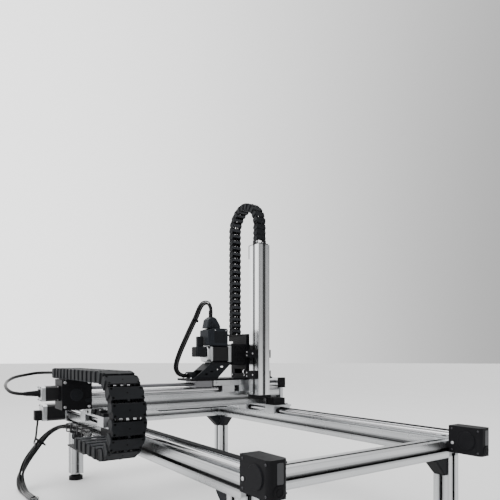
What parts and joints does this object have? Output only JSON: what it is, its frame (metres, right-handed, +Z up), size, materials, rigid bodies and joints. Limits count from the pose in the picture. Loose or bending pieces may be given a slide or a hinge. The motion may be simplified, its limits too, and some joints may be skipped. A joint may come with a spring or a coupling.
{
  "type": "gantry robot",
  "caption": "Three-axis Cartesian gantry robot on a slotted-profile table frame: two belt axes carry a screw-driven beam with a rack-driven lifting column, energy chains and cables.",
  "frame": {"origin": "middle of the machine's bounding box without its free cables, on the floor under the feet", "axes": "+X along the long belt axes towards their idler ends, +Y across from the side with the X motor and cable chain, +Z up"},
  "size_m": [1.218, 1.01, 0.9615],
  "materials": {
    "anodised_aluminium": "matte silver anodised extrusion",
    "machined_aluminium": "machined and clear anodised",
    "ground_steel": "ground steel",
    "dark_screw_steel": "dark rolled screw steel",
    "black_anodised": "black anodised aluminium",
    "motor_black": "satin black stator",
    "motor_silver": "cast silver motor caps",
    "moulded_black": "moulded glass-filled plastic",
    "moulded_grey": "dark grey moulded housing",
    "chain_plastic": "dark grey moulded chain links",
    "belt_rubber": "toothed belt",
    "cable_sheath": "black cable sheath"
  },
  "bodies": {
    "table_frame": {"x_profiles": "anodised_aluminium", "cross_members": "anodised_aluminium", "legs": "anodised_aluminium", "levelling_feet": "moulded_black", "corner_brackets": "moulded_black", "x_rails": "anodised_aluminium", "x_shafts": "ground_steel", "x_belts": "belt_rubber", "end_blocks": "black_anodised", "block_covers": "black_anodised", "x_motor_body": "motor_black", "x_motor_caps": "motor_silver", "chain_shelf": "black_anodised", "x_chain_lower_run": "chain_plastic", "cable_bundle": "cable_sheath", "cable_coil": "cable_sheath", "cable_plugs": "moulded_black"},
    "x_drive": {"x_drive_shaft": "ground_steel"},
    "x_idler_near": {"idler_pulley_near": "ground_steel"},
    "x_idler_far": {"idler_pulley_far": "ground_steel"},
    "cross_beam": {"x_carriage_plates": "machined_aluminium", "x_bearing_blocks": "machined_aluminium", "x_bearing_sleeves": "moulded_black", "beam_profile": "anodised_aluminium", "y_rail": "anodised_aluminium", "y_shafts": "ground_steel", "y_drive_housing": "black_anodised", "y_end_block": "machined_aluminium", "y_motor_body": "motor_black", "y_motor_caps": "motor_silver", "y_motor_cable": "cable_sheath", "limit_switches": "moulded_black", "y_chain_lower_run": "chain_plastic"},
    "x_chain_roll": {"x_chain_bend": "chain_plastic"},
    "x_chain_lead": {"x_chain_upper_run": "chain_plastic", "x_chain_moving_end": "chain_plastic"},
    "screw": {"lead_screw": "dark_screw_steel"},
    "y_carriage": {"y_carriage_body": "machined_aluminium", "base_plate": "black_anodised", "y_bearing_blocks": "machined_aluminium", "y_bearing_sleeves": "moulded_black", "screw_nut": "dark_screw_steel", "z_drive_housing": "black_anodised", "coupling_housing": "black_anodised", "z_motor_body": "motor_black", "z_motor_caps": "motor_silver", "z_encoder_housing": "moulded_grey", "cable_tray": "black_anodised", "guide_blocks": "black_anodised", "z_motor_cables": "cable_sheath", "z_chain_fixed_run": "chain_plastic"},
    "y_chain_roll": {"y_chain_bend": "chain_plastic"},
    "y_chain_lead": {"y_chain_upper_run": "chain_plastic"},
    "pinion": {"z_pinion": "ground_steel"},
    "column": {"z_column": "anodised_aluminium", "z_rack": "ground_steel", "tool_flange": "black_anodised", "z_chain_clamp": "black_anodised"},
    "z_chain_roll": {"z_chain_bend": "chain_plastic"},
    "z_chain_lead": {"z_chain_column_run": "chain_plastic"}
  },
  "joints": [
    {"name": "x_slide", "type": "slide", "parent": "table_frame", "child": "cross_beam", "axis": [1, 0, 0], "range_m": [-0.18, 0.5]},
    {"name": "x_drive_turn", "type": "hinge", "parent": "table_frame", "child": "x_drive", "pos_m": [-0.575, 0.0565, 0.231], "axis": [0, 1, 0], "range_deg": [-645.08, 1790.99]},
    {"name": "x_idler_near_turn", "type": "hinge", "parent": "table_frame", "child": "x_idler_near", "pos_m": [0.575, -0.2405, 0.231], "axis": [0, 1, 0], "range_deg": [-645.08, 1790.99]},
    {"name": "x_idler_far_turn", "type": "hinge", "parent": "table_frame", "child": "x_idler_far", "pos_m": [0.575, 0.3535, 0.231], "axis": [0, 1, 0], "range_deg": [-645.08, 1790.99]},
    {"name": "x_chain_roll_slide", "type": "slide", "parent": "table_frame", "child": "x_chain_roll", "axis": [1, 0, 0], "range_m": [-0.0905, 0.2505], "deforming": ["x_chain_lower_run"]},
    {"name": "x_chain_lead_slide", "type": "slide", "parent": "x_chain_roll", "child": "x_chain_lead", "axis": [1, 0, 0], "range_m": [-0.0905, 0.2505], "deforming": ["x_chain_upper_run"]},
    {"name": "y_slide", "type": "slide", "parent": "cross_beam", "child": "y_carriage", "axis": [0, 1, 0], "range_m": [-0.25, 0.02]},
    {"name": "screw_turn", "type": "hinge", "parent": "cross_beam", "child": "screw", "pos_m": [-0.22, 0.0565, 0.333], "axis": [0, 1, 0], "range_deg": [-4500.5, 360.5]},
    {"name": "y_chain_roll_slide", "type": "slide", "parent": "cross_beam", "child": "y_chain_roll", "axis": [0, 1, 0], "range_m": [-0.1255, 0.0105], "deforming": ["y_chain_lower_run"]},
    {"name": "y_chain_lead_slide", "type": "slide", "parent": "y_chain_roll", "child": "y_chain_lead", "axis": [0, 1, 0], "range_m": [-0.1255, 0.0105], "deforming": ["y_chain_upper_run"]},
    {"name": "z_slide", "type": "slide", "parent": "y_carriage", "child": "column", "axis": [0, 0, 1], "range_m": [-0.25, 0]},
    {"name": "pinion_turn", "type": "hinge", "parent": "y_carriage", "child": "pinion", "pos_m": [-0.2051, 0.2685, 0.433], "axis": [0, 1, 0], "range_deg": [-0.5, 358.6]},
    {"name": "z_chain_roll_slide", "type": "slide", "parent": "y_carriage", "child": "z_chain_roll", "axis": [0, 0, 1], "range_m": [-0.1255, 0.0005], "deforming": ["z_chain_fixed_run"]},
    {"name": "z_chain_lead_slide", "type": "slide", "parent": "z_chain_roll", "child": "z_chain_lead", "axis": [0, 0, 1], "range_m": [-0.1255, 0.0005], "deforming": ["z_chain_column_run"]}
  ],
  "couplings": [
    {"joint": "x_drive_turn", "follows": "x_slide", "rad_per_m": 62.5},
    {"joint": "x_idler_near_turn", "follows": "x_slide", "rad_per_m": 62.5},
    {"joint": "x_idler_far_turn", "follows": "x_slide", "rad_per_m": 62.5},
    {"joint": "x_chain_roll_slide", "follows": "x_slide", "ratio": 0.5},
    {"joint": "x_chain_lead_slide", "follows": "x_slide", "ratio": 0.5},
    {"joint": "screw_turn", "follows": "y_slide", "rad_per_m": 314.16},
    {"joint": "y_chain_roll_slide", "follows": "y_slide", "ratio": 0.5},
    {"joint": "y_chain_lead_slide", "follows": "y_slide", "ratio": 0.5},
    {"joint": "pinion_turn", "follows": "z_slide", "rad_per_m": -25},
    {"joint": "z_chain_roll_slide", "follows": "z_slide", "ratio": 0.5},
    {"joint": "z_chain_lead_slide", "follows": "z_slide", "ratio": 0.5}
  ]
}
